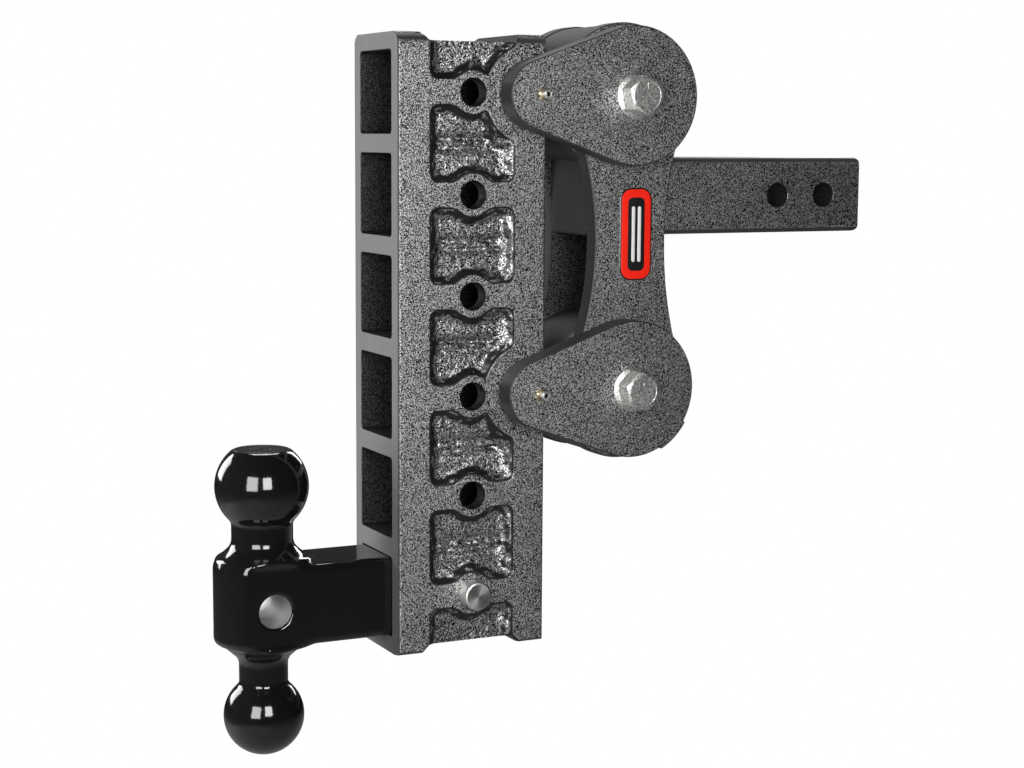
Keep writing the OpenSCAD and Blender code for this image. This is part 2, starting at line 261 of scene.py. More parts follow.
def turned_steel():
    """Stainless steel faced on a lathe: rings round the pin's axis and a highlight that fans out from it."""
    material, tree, shader = new_material("turned_steel")
    centred = add(tree, "ShaderNodeMapping", Vector=object_coords(tree), Location=-PIN_AXIS)
    wave = add(tree, "ShaderNodeTexWave", Vector=centred.outputs["Vector"], Scale=900.0, Distortion=0.4,
               Detail=2.0)
    wave.wave_type = "RINGS"
    wave.rings_direction = "Y"
    tone = noise(tree, centred.outputs["Vector"], 120.0)
    tree.links.new(ramp(tree, tone, [(0.3, (0.66, 0.65, 0.63)), (0.7, (0.8, 0.79, 0.77))]),
                   shader.inputs["Base Color"])
    bump(tree, shader, wave.outputs["Fac"], 0.08, 0.0002)
    tangent = tree.nodes.new("ShaderNodeTangent")
    tangent.direction_type = "RADIAL"
    tangent.axis = "Y"
    tree.links.new(tangent.outputs["Tangent"], shader.inputs["Tangent"])
    set_shader(shader, Metallic=1.0, Roughness=0.36, Anisotropic=0.6)
    return material


def rubber():
    material, tree, shader = new_material("rubber")
    grain = noise(tree, object_coords(tree), 700.0, detail=3.0)
    tree.links.new(ramp(tree, grain, [(0.3, 0.012), (0.7, 0.025)]), shader.inputs["Base Color"])
    bump(tree, shader, grain, 0.2, 0.0003)
    set_shader(shader, Roughness=0.75)
    return material


def label_ink(name, colour):
    material, tree, shader = new_material(name)
    tint = noise(tree, object_coords(tree), 180.0)
    darker = tuple(c * 0.9 for c in colour)
    tree.links.new(ramp(tree, tint, [(0.3, darker), (0.7, colour)]), shader.inputs["Base Color"])
    set_shader(shader, Roughness=0.3, Coat_Weight=0.8, Coat_Roughness=0.06)
    return material


# Painted shade: the plain copy keeps faces along X dark, as on the arms' noses.
PAINT = hammer_paint("hammer_paint")
# Painted light: a copy whose faces along X are lighter grey, for the column's lit front face.
COLUMN_PAINT_LIT_FRONT = hammer_paint("column_paint_lit_front", front_shading_grey=0.1)
# Weld paint with painted shade and painted highlight: a darker film on the recessed pocket walls and paler
# flakes that glint brighter on the welds.
POCKET = hammer_paint("weld_paint_and_shade", pale=0.95, speckle=1350.0, mask=(0.85, 0.98), gloss=0.3,
                      film=0.018, film_metal=0.4, film_rough=0.32)
# Painted shade: a darker copy of the hammer paint for faces in the shade between the side plates.
SHADED_INNER_PAINT = hammer_paint("inner_painted_shade", pale=0.22, film=0.03)
BORED_STEEL = metal("bored_steel", (0.4, 0.4, 0.4), 0.6, metallic=0.1)
WORN_EDGE = metal("worn_edge", (0.95, 0.95, 0.93), 0.3)
BORE_SHADE = bore_shade_paint()
BLACK = gloss_black()
BLACK_CAST = metal("worn_black", (0.05, 0.05, 0.052), 0.32, depth=0.3, metallic=0.6)
ZINC = metal("bright_zinc", (1.0, 1.0, 0.97), 0.4, depth=0.4, metallic=0.95, mottle=0.42)
YELLOW_ZINC = metal("yellow_zinc", (0.62, 0.5, 0.32), 0.3)
BRONZE = metal("bronze", (0.5, 0.32, 0.15), 0.35)
BRASS = metal("brass", (0.72, 0.55, 0.25), 0.28)
STEEL = metal("plain_steel", (0.42, 0.42, 0.43), 0.38)
TURNED = turned_steel()
RUBBER = rubber()
FINISH = {"hammer_paint": PAINT, "gloss_black": BLACK, "zinc_steel": ZINC, "yellow_zinc": YELLOW_ZINC,
          "bronze": BRONZE, "key_brass": BRASS, "plain_steel": STEEL, "stainless": TURNED,
          "rubber": RUBBER, "label_red": label_ink("label_red", (0.95, 0.022, 0.01))}
LABEL_BLACK = label_ink("label_black", (0.012, 0.012, 0.012))
LABEL_WHITE = label_ink("label_white", (0.8, 0.8, 0.78))
SLOT_OF = {s["node"]: s["material_slot"] for s in frame["record"]["subparts"]}


# ---- mesh helpers

def new_object(name, mesh, *materials):
    obj = bpy.data.objects.new(name, mesh)
    bpy.context.scene.collection.objects.link(obj)
    for material in materials:
        mesh.materials.append(material)
    return obj


def place(obj, body):
    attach(obj, body)
    return obj


def shade(mesh, angle=34.0):
    mesh.polygons.foreach_set("use_smooth", [True] * len(mesh.polygons))
    mesh.set_sharp_from_angle(angle=math.radians(angle))


def bridge(work, loops):
    """Walls through rings of vertices, with a cap on the first ring and on the last."""
    count = len(loops[0])
    for low, high in zip(loops, loops[1:]):
        for k in range(count):
            n = (k + 1) % count
            work.faces.new((low[k], low[n], high[n], high[k]))
    work.faces.new(loops[0])
    work.faces.new(loops[-1])


def outward_mesh(work, name):
    """The finished faces as a mesh whose normals point outwards."""
    bmesh.ops.recalc_face_normals(work, faces=work.faces)
    mesh = bpy.data.meshes.new(name)
    work.to_mesh(mesh)
    work.free()
    return mesh


def finish_of(node):
    return COLUMN_PAINT_LIT_FRONT if node.startswith(("receiver", "column", "tube_seam")) else FINISH[SLOT_OF[node]]


def soften(node, width, segments=2, share=lambda middle, along: 1.0):
    """A copy of a CAD part with its sharp edges rounded, which then stands for it.

    share gives the part of the full width an edge gets, from its middle and direction.
    """
    source = NODES[node]
    mesh = source.data.copy()
    mesh.materials.clear()
    work = bmesh.new()
    work.from_mesh(mesh)
    bmesh.ops.remove_doubles(work, verts=work.verts, dist=2e-6)
    bmesh.ops.dissolve_limit(work, angle_limit=math.radians(0.6), verts=work.verts, edges=work.edges)
    weight = work.edges.layers.float.new("bevel_weight_edge")
    for edge in work.edges:
        if edge.is_manifold and edge.calc_face_angle() > math.radians(32.0):
            a, b = (v.co for v in edge.verts)
            edge[weight] = share((a + b) / 2, (b - a).normalized())
    work.to_mesh(mesh)
    work.free()
    shade(mesh)
    obj = new_object(node + "_skin", mesh, finish_of(node))
    rounding = obj.modifiers.new("rounding", "BEVEL")
    rounding.width = width
    rounding.segments = segments
    rounding.limit_method = "WEIGHT"
    evening = obj.modifiers.new("evening", "WEIGHTED_NORMAL")
    evening.keep_sharp = True
    bpy.context.view_layer.update()
    finished = bpy.data.meshes.new_from_object(obj.evaluated_get(bpy.context.evaluated_depsgraph_get()))
    obj.modifiers.clear()
    obj.data = finished
    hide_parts(node)
    return place(obj, source["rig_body"])


def corner_fill(work, start, end, side, level, up):
    """Weld metal in the corner that a tube's rounded edge leaves under an end bar."""
    reach = TUBE_CORNER_R - 0.05
    outline = [(TUBE_Y, level)]
    for k in range(9):
        a = math.pi / 16 * k
        outline.append((TUBE_Y - TUBE_CORNER_R + reach * math.cos(a),
                        level + up * (reach * math.sin(a) - TUBE_CORNER_R)))
    bridge(work, [[work.verts.new(Vector((x, side * y, z)) * MM) for y, z in outline] for x in (start, end)])


def seam_ends():
    """The weld metal between the tubes, left only where no pocket shows the tubes themselves."""
    work = bmesh.new()
    for point, outward in ((POCKET_LEFT - 1.5, 1.0), (POCKET_RIGHT + 1.0, -1.0)):
        part = NODES["tube_seam_welds"].data.copy()
        half = bmesh.new()
        half.from_mesh(part)
        cut = bmesh.ops.bisect_plane(half, geom=half.verts[:] + half.edges[:] + half.faces[:],
                                     plane_co=(point * MM, 0.0, 0.0), plane_no=(outward, 0.0, 0.0),
                                     clear_outer=True)
        bmesh.ops.holes_fill(half, edges=[e for e in cut["geom_cut"] if isinstance(e, bmesh.types.BMEdge)])
        half.to_mesh(part)
        half.free()
        work.from_mesh(part)
    for start, end in ((PLATE_LOW.x, POCKET_LEFT - 4.5), (POCKET_RIGHT + 4.0, PLATE_HIGH.x)):
        for side in (-1, 1):
            for level, up in ((PLATE_HIGH.z - END_STEP, 1), (PLATE_LOW.z + END_STEP, -1)):
                corner_fill(work, start, end, side, level, up)
    mesh = outward_mesh(work, "seam_ends")
    mesh.materials.clear()
    ends = new_object("seam_ends", mesh, COLUMN_PAINT_LIT_FRONT)
    shade(mesh)
    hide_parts("tube_seam_welds")
    place(ends, "column")


# ---- number fields, all in millimetres

def smooth_max(a, b, k):
    """The larger of two fields, with the crease between them rounded over a width k."""
    h = np.clip(0.5 + 0.5 * (a - b) / k, 0.0, 1.0)
    return b + (a - b) * h + k * h * (1.0 - h)


def smooth_min(a, b, k):
    return -smooth_max(-a, -b, k)


def ease(t):
    t = np.clip(t, 0.0, 1.0)
    return t * t * (3.0 - 2.0 * t)


def lattice_noise(x, z, cell, seed):
    """Smooth random heights between -1 and 1, with lumps about one cell wide."""
    size = 64
    table = np.random.default_rng(seed).uniform(-1.0, 1.0, (size, size))
    i, j = np.floor(x / cell).astype(int), np.floor(z / cell).astype(int)
    u, v = ease(x / cell - i), ease(z / cell - j)
    a, b = i % size, j % size
    c, d = (i + 1) % size, (j + 1) % size
    low = table[a, b] * (1 - u) + table[c, b] * u
    high = table[a, d] * (1 - u) + table[c, d] * u
    return low * (1 - v) + high * v


def rounded_box(offsets, halves, radius):
    """Signed distance to a box with rounded edges, from the offsets to its centre."""
    q = [np.abs(o) - (h - radius) for o, h in zip(offsets, halves)]
    outside = np.sqrt(sum(np.maximum(part, 0.0) ** 2 for part in q))
    inside = np.minimum(np.max(np.stack(np.broadcast_arrays(*q)), axis=0), 0.0)
    return outside + inside - radius


# ---- column skin: plates with their pockets, the weld metal in them and the rings round the pivots

PLATE_LOW, PLATE_HIGH = (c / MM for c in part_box("column_plate_near"))
FACE_Y = -PLATE_LOW.y
TUBE_Y = -PLATE_HIGH.y
PIN_Z = [MOUNTS[f"receiver_pin_bore_{i}"].z / MM for i in range(1, 6)] + [PIN_AXIS.z / MM]
PIN_X = PIN_AXIS.x / MM
PITCH = PIN_Z[0] - PIN_Z[1]
PIN_HOLE_R = 8.5
TUBE_CORNER_R = 9.0
PIN_MOUTH_R = PIN_HOLE_R + 0.6
POCKET_LEFT, POCKET_RIGHT = PLATE_LOW.x + 21.5, PLATE_LOW.x + 80.0
LAND_HALF = 7.6
PIN_LAND_R = 13.5
PIVOT_LAND_R = 31.0
PIVOT_WELD_R = 27.0
SIDE_ROUNDING, BOTTOM_ROUNDING, TOP_ROUNDING = 1.4, 3.0, 8.0
SKIN_CELL = 0.62
SKIN_GAP = 0.4
SKIN_BACK = TUBE_Y - 2.8
END_STEP = PLATE_HIGH.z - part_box("receiver_tube_1")[1].z / MM


def pocket_depth(x, z):
    """How far inside a pocket's outline a point is, negative on the plate."""
    centre, reach = (POCKET_LEFT + POCKET_RIGHT) / 2, (POCKET_RIGHT - POCKET_LEFT) / 2
    tops = [PLATE_HIGH.z + 20.0] + [pin - LAND_HALF for pin in PIN_Z]
    bottoms = [pin + LAND_HALF for pin in PIN_Z] + [PLATE_LOW.z - 20.0]
    outline = np.full_like(x, 1e3)
    for top, bottom in zip(tops, bottoms):
        middle, half = (top + bottom) / 2, (top - bottom) / 2
        flare = np.maximum(z - PLATE_HIGH.z + 6.0, 0.0) + np.maximum(PLATE_LOW.z + 6.0 - z, 0.0)
        box = rounded_box((x - centre, z - middle), (reach + flare, half), 6.0)
        outline = np.minimum(outline, box)
    for pin in PIN_Z:
        outline = smooth_max(outline, PIN_LAND_R - np.hypot(x - PIN_X, z - pin), 4.0)
    for pivot in (UPPER_PIVOT, LOWER_PIVOT):
        ring = np.hypot(x - pivot.x / MM, z - pivot.z / MM)
        outline = smooth_max(outline, PIVOT_LAND_R - ring, 3.0)
    return -outline


def rounding_drop(edge, radius):
    """How far a rounded edge has dropped, at a distance from where the face ends."""
    return radius - np.sqrt(np.maximum(radius ** 2 - np.maximum(radius - edge, 0.0) ** 2, 0.0))


def bare_tubes(x, z, seed):
    """Height of the tubes' own outer walls, with a weld bead in each valley between them."""
    tube = np.full_like(x, TUBE_Y + 0.25)
    for pin in PIN_Z[:-1]:
        off = np.abs(z - (pin - PITCH / 2) + 0.5 * lattice_noise(x, z, 9.0, seed + 3))
        wall = TUBE_Y + 0.2 - rounding_drop(off, TUBE_CORNER_R)
        bead = TUBE_Y - 0.9 - 0.30 * off ** 2 + 0.4 * lattice_noise(x, z * 0.2, 2.3, seed + 4)
        tube = np.minimum(tube, smooth_max(wall, bead, 0.4))
    return tube


def column_face(x, z, seed):
    """Height of the finished outer face of the column above its middle plane."""
    depth = pocket_depth(x, z)
    lumps = lattice_noise(x, z, 6.5, seed) + 0.55 * lattice_noise(x, z, 2.9, seed + 1)
    grit = lattice_noise(x, z, 1.7, seed + 2)
    leg = 8.5 + 3.5 * ease((x - PLATE_LOW.x - 58.0) / 16.0) + 1.3 * lattice_noise(x, z, 11.0, seed + 5)
    t = np.clip(depth / leg, 0.0, 1.0)
    drop = 0.14 * ease(depth / 0.6) + 0.5 * t + 0.36 * (1.0 - (1.0 - t) ** 2)
    weld = FACE_Y - (FACE_Y - TUBE_Y + 1.6 * t) * drop + (0.55 * lumps + 0.18 * grit) * ease(depth / 2.0)
    pocket = smooth_max(bare_tubes(x, z, seed) + 0.14 * grit, weld, 1.2)
    face = np.where(depth > 0.0, np.minimum(pocket, FACE_Y), FACE_Y)
    for pivot in (UPPER_PIVOT, LOWER_PIVOT):
        ring = np.hypot(x - pivot.x / MM, z - pivot.z / MM) + 0.6 * lumps
        bead = np.maximum(1.0 - ((ring - PIVOT_WELD_R) / 3.4) ** 2, 0.0)
        bead = bead * (0.95 + 0.75 * lattice_noise(x, z, 4.2, seed + 7) + 0.35 * grit)
        face = face + 1.55 * ease((24.5 - ring) / 3.0) + bead
    for edge, radius in ((x - PLATE_LOW.x, SIDE_ROUNDING), (PLATE_HIGH.x - x, SIDE_ROUNDING),
                         (z - PLATE_LOW.z, BOTTOM_ROUNDING), (PLATE_HIGH.z - z, TOP_ROUNDING)):
        face = np.minimum(face, FACE_Y - rounding_drop(edge, radius))
    return np.maximum(face, TUBE_Y - 2.6)


def spaced(low, high):
    """Stations from low to high, closer together at the rounded edges."""
    ends = np.array([0.0, 0.1, 0.3, 0.6, 1.0])
    inner = np.linspace(low + 1.6, high - 1.6, int((high - low) / SKIN_CELL))
    return np.concatenate((low + ends, inner, high - ends[::-1]))


def skin_grid():
    """Stations of the skin in rows along Z, which of them are kept, and which lie on a pin hole's mouth."""
    xs = spaced(PLATE_LOW.x, PLATE_HIGH.x)
    zs = spaced(PLATE_LOW.z + SKIN_GAP, PLATE_HIGH.z - SKIN_GAP)
    x, z = (a.ravel() for a in np.meshgrid(xs, zs, indexing="ij"))
    keep = np.ones(x.shape, bool)
    on_mouth = np.zeros(x.shape, bool)
    for pin in PIN_Z:
        dx, dz = x - PIN_X, z - pin
        ring = np.maximum(np.hypot(dx, dz), 1e-6)
        near = np.abs(ring - PIN_MOUTH_R) < 0.75 * SKIN_CELL
        x = np.where(near, PIN_X + dx / ring * PIN_MOUTH_R, x)
        z = np.where(near, pin + dz / ring * PIN_MOUTH_R, z)
        on_mouth |= near
        keep &= near | (ring > PIN_MOUTH_R)
    notch = ease((x - PLATE_LOW.x - 16.5) / 6.0) * ease((PLATE_LOW.x + 85.0 - x) / 6.0)
    top_end, bottom_end = ease((z - PLATE_HIGH.z + 12.0) / 12.0), ease((PLATE_LOW.z + 12.0 - z) / 12.0)
    z = z - END_STEP * notch * (top_end - bottom_end)
    return x, z, keep, on_mouth, len(zs)


def column_skin(node, side, seed):
    """One outer face of the column: a height field with pin holes, closed behind inside the tube walls."""
    x, z, keep, on_mouth, rows = skin_grid()
    in_pocket = pocket_depth(x, z) > 0.2
    for pivot in (UPPER_PIVOT, LOWER_PIVOT):
        in_pocket |= np.abs(np.hypot(x - pivot.x / MM, z - pivot.z / MM) - PIVOT_WELD_R) < 3.6
    work = bmesh.new()
    points = np.stack((x, side * column_face(x, z, seed), z), 1) * MM
    verts = [work.verts.new(p) if k else None for p, k in zip(points.tolist(), keep.tolist())]
    for start in range(0, len(x) - rows, rows):
        for first in range(start, start + rows - 1):
            corner = [first, first + rows, first + rows + 1, first + 1]
            if all(keep[c] for c in corner) and not all(on_mouth[c] for c in corner):
                face = work.faces.new([verts[c] for c in (corner if side < 0 else corner[::-1])])
                # Pocket faces and the pivot weld rings take the weld paint with its painted shade and
                # highlight.
                face.material_index = int(in_pocket[first])
    for vert in [v for v in work.verts if not v.link_faces]:
        work.verts.remove(vert)
    close_behind(work, side)
    skin = new_object(node, outward_mesh(work, node), COLUMN_PAINT_LIT_FRONT, POCKET, BORE_SHADE)
    shade(skin.data, 50.0)
    return skin


def behind(point, side, inset, level):
    """Where a point of the face's outline or of a pin hole goes on its way in to the tube wall."""
    x, z = point.x / MM, point.z / MM
    pin = min(PIN_Z, key=lambda value: abs(value - z))
    ring = math.hypot(x - PIN_X, z - pin)
    if ring < PIN_HOLE_R + 1.5:
        scale = (PIN_HOLE_R + inset) / ring
        x, z = PIN_X + (x - PIN_X) * scale, pin + (z - pin) * scale
    else:
        x = min(max(x, PLATE_LOW.x + inset), PLATE_HIGH.x - inset)
        z = min(max(z, PLATE_LOW.z + SKIN_GAP + inset), PLATE_HIGH.z - SKIN_GAP - inset)
    return Vector((x, side * min(level, abs(point.y) / MM), z)) * MM


def close_behind(work, side):
    """Walls round the outline and the pin holes, then a flat back inside the tube walls."""
    rims = [e for e in work.edges if e.is_boundary]
    copy = bmesh.ops.duplicate(work, geom=work.faces[:])
    twin = copy["vert_map"]
    back = [f for f in copy["geom"] if isinstance(f, bmesh.types.BMFace)]
    middle = {v: work.verts.new(behind(v.co, side, 0.0, TUBE_Y)) for e in rims for v in e.verts}
    for face in back:
        for vert in face.verts:
            vert.co = behind(vert.co, side, 1.0, SKIN_BACK)
    for edge in rims:
        a, b = edge.verts
        wall = work.faces.new((a, b, middle[b], middle[a]))
        # Painted shade: the walls of the pin holes take the very dark paint.
        if abs(a.co.x - PIN_AXIS.x) < 0.011:
            wall.material_index = 2
        work.faces.new((middle[a], middle[b], twin[b], twin[a]))
    halves = [], []
    for face in back:
        halves[face.calc_center_median().x < PIN_AXIS.x].append(face)
    for half in halves:
        bmesh.ops.dissolve_faces(work, faces=half, use_verts=True)


# ---- ball mount: one forging

MOUNT_LOW, MOUNT_HIGH = (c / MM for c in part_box("ball_mount"))
BALL_X = BALL_AXIS_X / MM
MOUNT_Z = PIN_AXIS.z / MM
UPPER_BALL_R, LOWER_BALL_R = 29.37, 25.4
BALL_RISE = MOUNTS["upper_ball"].z / MM - MOUNT_Z
CROSS_Z = MOUNTS["mount_cross_bore"].z / MM - MOUNT_Z


def neck(ring, w, radius, flare, start, end):
    """A round neck that flares out where it leaves the body."""
    swell = flare * (1.0 - ease((w - start) / 15.0)) ** 2
    wall = (ring - radius - swell) * 0.8
    return np.maximum(wall, np.maximum(start - 12.0 - w, w - end))


def forging(points):
    """Signed distance to the ball mount's surface, from points in its own millimetres."""
    u, v, w = points[..., 0], points[..., 1], points[..., 2]
    ring = np.hypot(u, v)
    side = np.abs(v) - 25.4
    crown = 26.4 + 1.6 * np.exp(-(u / 17.0) ** 2)
    body = smooth_max(ring - 31.0, np.abs(w) - crown, 5.0)
    shoulder = smooth_max(np.hypot(u, v) - 29.5, w - 28.6, 3.0)
    body = smooth_min(body, np.maximum(shoulder, -w), 1.5)
    shank = rounded_box((u - 80.0, v, w), (90.0, 25.4, 25.4), 4.5)
    shank = np.maximum(shank, u - (MOUNT_HIGH.x - BALL_X))
    solid = smooth_min(body, shank, 5.0)
    solid = smooth_min(solid, neck(ring, w, 19.3, 8.5, 27.0, BALL_RISE), 3.0)
    solid = smooth_min(solid, neck(ring, -w, 15.4, 9.0, 27.0, BALL_RISE), 3.0)
    upper = np.sqrt(ring ** 2 + (w - BALL_RISE) ** 2) - UPPER_BALL_R
    upper = smooth_max(upper, w - (MOUNT_HIGH.z - MOUNT_Z), 1.2)
    lower = np.sqrt(ring ** 2 + (w + BALL_RISE) ** 2) - LOWER_BALL_R
    solid = smooth_min(solid, upper, 1.6)
    solid = smooth_min(solid, lower, 1.6)
    flat = np.where(np.abs(w) < 34.0, side, -5.0)
    solid = smooth_max(solid, flat - 4.0 * ease((np.abs(w) - 24.0) / 10.0), 2.2)
    return smooth_max(solid, 10.5 - np.hypot(u, w - CROSS_Z), 1.5)


def surface_mesh(name, field, low, high, step, origin):
    """A quad mesh on the zero level of a field: one vertex in each cell that the level crosses."""
    low, high = np.array(low), np.array(high)
    axes = [np.arange(a, b + step, step) for a, b in zip(low, high)]
    inside = field(np.stack(np.meshgrid(*axes, indexing="ij"), -1)) < 0.0
    n = np.array(inside.shape) - 1
    count = sum(inside[a:n[0] + a, b:n[1] + b, c:n[2] + c].astype(int)
                for a in (0, 1) for b in (0, 1) for c in (0, 1))
    mixed = (count > 0) & (count < 8)
    index = np.full(tuple(n), -1)
    index[mixed] = np.arange(mixed.sum())
    points = low + (np.argwhere(mixed) + 0.5) * step
    for _ in range(8):
        value = field(points)
        slope = np.stack([(field(points + d) - field(points - d)) / 0.1 for d in np.eye(3) * 0.05], 1)
        points = points - np.clip(value / np.maximum((slope ** 2).sum(1), 0.1), -0.6, 0.6)[:, None] * slope
    faces = []
    for axis in range(3):
        first, second = [a for a in range(3) if a != axis]
        crossing = np.argwhere(np.diff(inside.astype(int), axis=axis) != 0)
        for cell in crossing[(crossing[:, first] > 0) & (crossing[:, second] > 0)]:
            quad = []
            for back_first, back_second in ((0, 0), (1, 0), (1, 1), (0, 1)):
                spot = cell.copy()
                spot[first] -= back_first
                spot[second] -= back_second
                quad.append(int(index[tuple(spot)]))
            faces.append(quad)
    mesh = bpy.data.meshes.new(name)
    mesh.from_pydata(((points + origin) * MM).tolist(), [], faces)
    work = bmesh.new()
    work.from_mesh(mesh)
    bmesh.ops.recalc_face_normals(work, faces=work.faces)
    work.to_mesh(mesh)
    work.free()
    return mesh


def ball_mount():
    origin = np.array((BALL_X, 0.0, MOUNT_Z))
    low = np.array(MOUNT_LOW) - origin - 3.0
    high = np.array(MOUNT_HIGH) - origin + 3.0
    mesh = surface_mesh("ball_mount_forging", forging, low, high, 1.3, origin)
    obj = new_object("ball_mount_forging", mesh, BLACK, BORED_STEEL)
    for polygon in mesh.polygons:
        u, v, w = np.array(polygon.center) / MM - origin
        polygon.material_index = int(math.hypot(u, w - CROSS_Z) < 10.9 and abs(v) < 24.0)
    shade(mesh, 60.0)
    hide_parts("ball_mount")
    place(obj, "column")


# ---- turned and forged small parts

def hexagon(across_flats, turn):
    """Radius of a hexagon at each angle."""
    return lambda a: across_flats / 2 / math.cos((a - turn + math.pi / 6) % (math.pi / 3) - math.pi / 6)


def ring_solid(name, origin, side, rings, steps=96):
    """A closed solid along Y from rings of (radius or radius by angle, height), in millimetres."""
    work = bmesh.new()
    loops = []
    for radius, height in rings:
        loop = []
        for k in range(steps):
            a = 2 * math.pi * k / steps
            r = radius(a) if callable(radius) else radius
            h = height(a) if callable(height) else height
            loop.append(work.verts.new(origin + Vector((r * math.cos(a), side * h, r * math.sin(a))) * MM))
        loops.append(loop)
    bridge(work, loops)
    return outward_mesh(work, name)


def ball_cap():
    """Turned flat on top of the upper ball, with shallow rings and a row of plain dimples between them."""
    top = MOUNT_HIGH.z
    row = lambda a: top + 0.12 - 0.3 * max(0.0, math.cos(18.0 * a)) ** 2
    rings = [(17.6, top - 0.5), (17.4, top - 0.02), (16.9, top + 0.15), (15.6, top + 0.15),
             (15.3, top - 0.1), (14.6, top - 0.1), (14.3, top + 0.12), (13.4, top + 0.12), (12.7, row),
             (10.6, row), (9.8, top + 0.12), (7.2, top + 0.12), (6.9, top - 0.15), (6.2, top - 0.15),
             (5.9, top + 0.12), (2.2, top + 0.12), (1.6, top - 0.4)]
    mesh = ring_solid("ball_cap", Vector((0.0, 0.0, 0.0)), 1.0, rings, 144)
    mesh.transform(Matrix.Translation((BALL_AXIS_X, 0.0, 0.0)) @ Matrix.Rotation(math.pi / 2, 4, "X"))
    cap = new_object("ball_cap", mesh, BLACK_CAST)
    shade(mesh, 40.0)
    place(cap, "column")


def join(name, meshes, *materials):
    """One object from several meshes, each with its own material in turn."""
    work = bmesh.new()
    for number, mesh in enumerate(meshes):
        start = len(work.faces)
        work.from_mesh(mesh)
        work.faces.ensure_lookup_table()
        for face in work.faces[start:]:
            face.material_index = min(number, len(materials) - 1)
    mesh = bpy.data.meshes.new(name)
    work.to_mesh(mesh)
    work.free()
    return new_object(name, mesh, *materials)


def bolt_meshes(axis, side, face_y, top_y):
    """Flanged hex head with a chamfered crown and three raised grade marks."""
    origin = Vector((axis.x, 0.0, axis.z))
    hexa = hexagon(22.8, math.radians(12.0))
    crown = 10.4
    head = [(12.0, face_y - 3.0), (14.4, face_y - 0.05), (14.8, face_y + 0.3), (14.8, face_y + 1.0),
            (14.3, face_y + 1.3), (lambda a: min(hexa(a) + 0.25, 13.6), face_y + 2.1), (hexa, face_y + 2.6),
            (hexa, lambda a: top_y - 0.1 - (hexa(a) - crown) * 0.3),
            (crown, top_y - 0.1), (crown - 0.5, top_y), (crown - 1.3, top_y), (crown - 1.6, top_y - 0.12)]
    meshes = [ring_solid("head", origin, side, head)]
    for k in range(3):
        a = math.radians(90.0 + 120.0 * k)
        middle = origin + Vector((math.cos(a), 0.0, math.sin(a))) * 6.0 * MM
        meshes.append(raised_bar("mark", middle, side, top_y - 0.15, 4.6, 0.9, 0.45, a))
    return meshes


def raised_bar(name, middle, side, base_y, length, width, height, angle):
    """A small bar with sloping sides that stands on a face."""
    along = Vector((math.cos(angle), 0.0, math.sin(angle)))
    aside = Vector((-math.sin(angle), 0.0, math.cos(angle)))
    work = bmesh.new()
    loops = []
    for shrink, y in ((0.0, base_y - 0.2), (0.0, base_y), (0.22, base_y + height)):
        half_l, half_w = length / 2 - shrink, width / 2 - shrink
        loops.append([work.verts.new(middle + (along * a * half_l + aside * b * half_w) * MM
                                     + Vector((0.0, side * y * MM, 0.0)))
                      for a, b in ((-1, -1), (1, -1), (1, 1), (-1, 1))])
    bridge(work, loops)
    return outward_mesh(work, name)


def arm_bolts(prefix, axis, body):
    top_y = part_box(f"{prefix}_arm_bolts")[1].y / MM - 0.3
    face_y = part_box(f"{prefix}_arm_far")[1].y / MM
    for label, side in (("near", -1), ("far", 1)):
        bolt = join(f"{prefix}_bolt_{label}", bolt_meshes(axis, side, face_y, top_y), ZINC)
        shade(bolt.data, 20.0)
        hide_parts(f"{prefix}_arm_bolts")
        place(bolt, body)


def grease_fittings(prefix, axis, body):
    """Hex base, waist and ball tip with the dark check ball in its mouth."""
    face_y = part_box(f"{prefix}_arm_far")[1].y / MM
    origin = Vector((axis.x, 0.0, axis.z))
    hexa = hexagon(7.6, math.radians(20.0))
    stem = [(3.0, face_y - 3.0), (hexa, face_y + 0.05), (hexa, face_y + 2.2), (3.5, face_y + 2.6)]
    tip = [(2.0, face_y + 2.4), (1.9, face_y + 4.2), (2.6, face_y + 4.8), (3.0, face_y + 5.4),
           (3.0, face_y + 6.2), (2.7, face_y + 7.1), (2.1, face_y + 7.6), (1.5, face_y + 7.5),
           (1.4, face_y + 6.6)]
    ball = [(1.35, face_y + 6.4), (1.35, face_y + 6.9), (0.7, face_y + 7.2)]
    for label, side in (("near", -1), ("far", 1)):
        meshes = [ring_solid("part", origin, side, rings, 48) for rings in (stem, tip, ball)]
        fitting = join(f"{prefix}_fitting_{label}", meshes, YELLOW_ZINC, ZINC, BLACK)
        shade(fitting.data, 30.0)
        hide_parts(f"{prefix}_grease_fittings")
        place(fitting, body)


def rounded_outline(x_low, x_high, z_low, z_high, radius, steps=8):
    """Points round a rectangle with rounded corners."""
    points = []
    for number, (x, z) in enumerate(((x_high - radius, z_high - radius), (x_low + radius, z_high - radius),
                                     (x_low + radius, z_low + radius), (x_high - radius, z_low + radius))):
        for k in range(steps + 1):
            a = math.pi / 2 * (number + k / steps)
            points.append((x + radius * math.cos(a), z + radius * math.sin(a)))
    return points


def plate_solid(name, box, radius, levels):
    """A thin plate on the near side, from (inset, height) levels of its outline."""
    work = bmesh.new()
    loops = []
    for inset, y in levels:
        outline = rounded_outline(box[0] + inset, box[1] - inset, box[2] + inset, box[3] - inset,
                                  max(radius - inset, 0.15))
        loops.append([work.verts.new(Vector((x, -y, z)) * MM) for x, z in outline])
    bridge(work, loops)
    return outward_mesh(work, name)


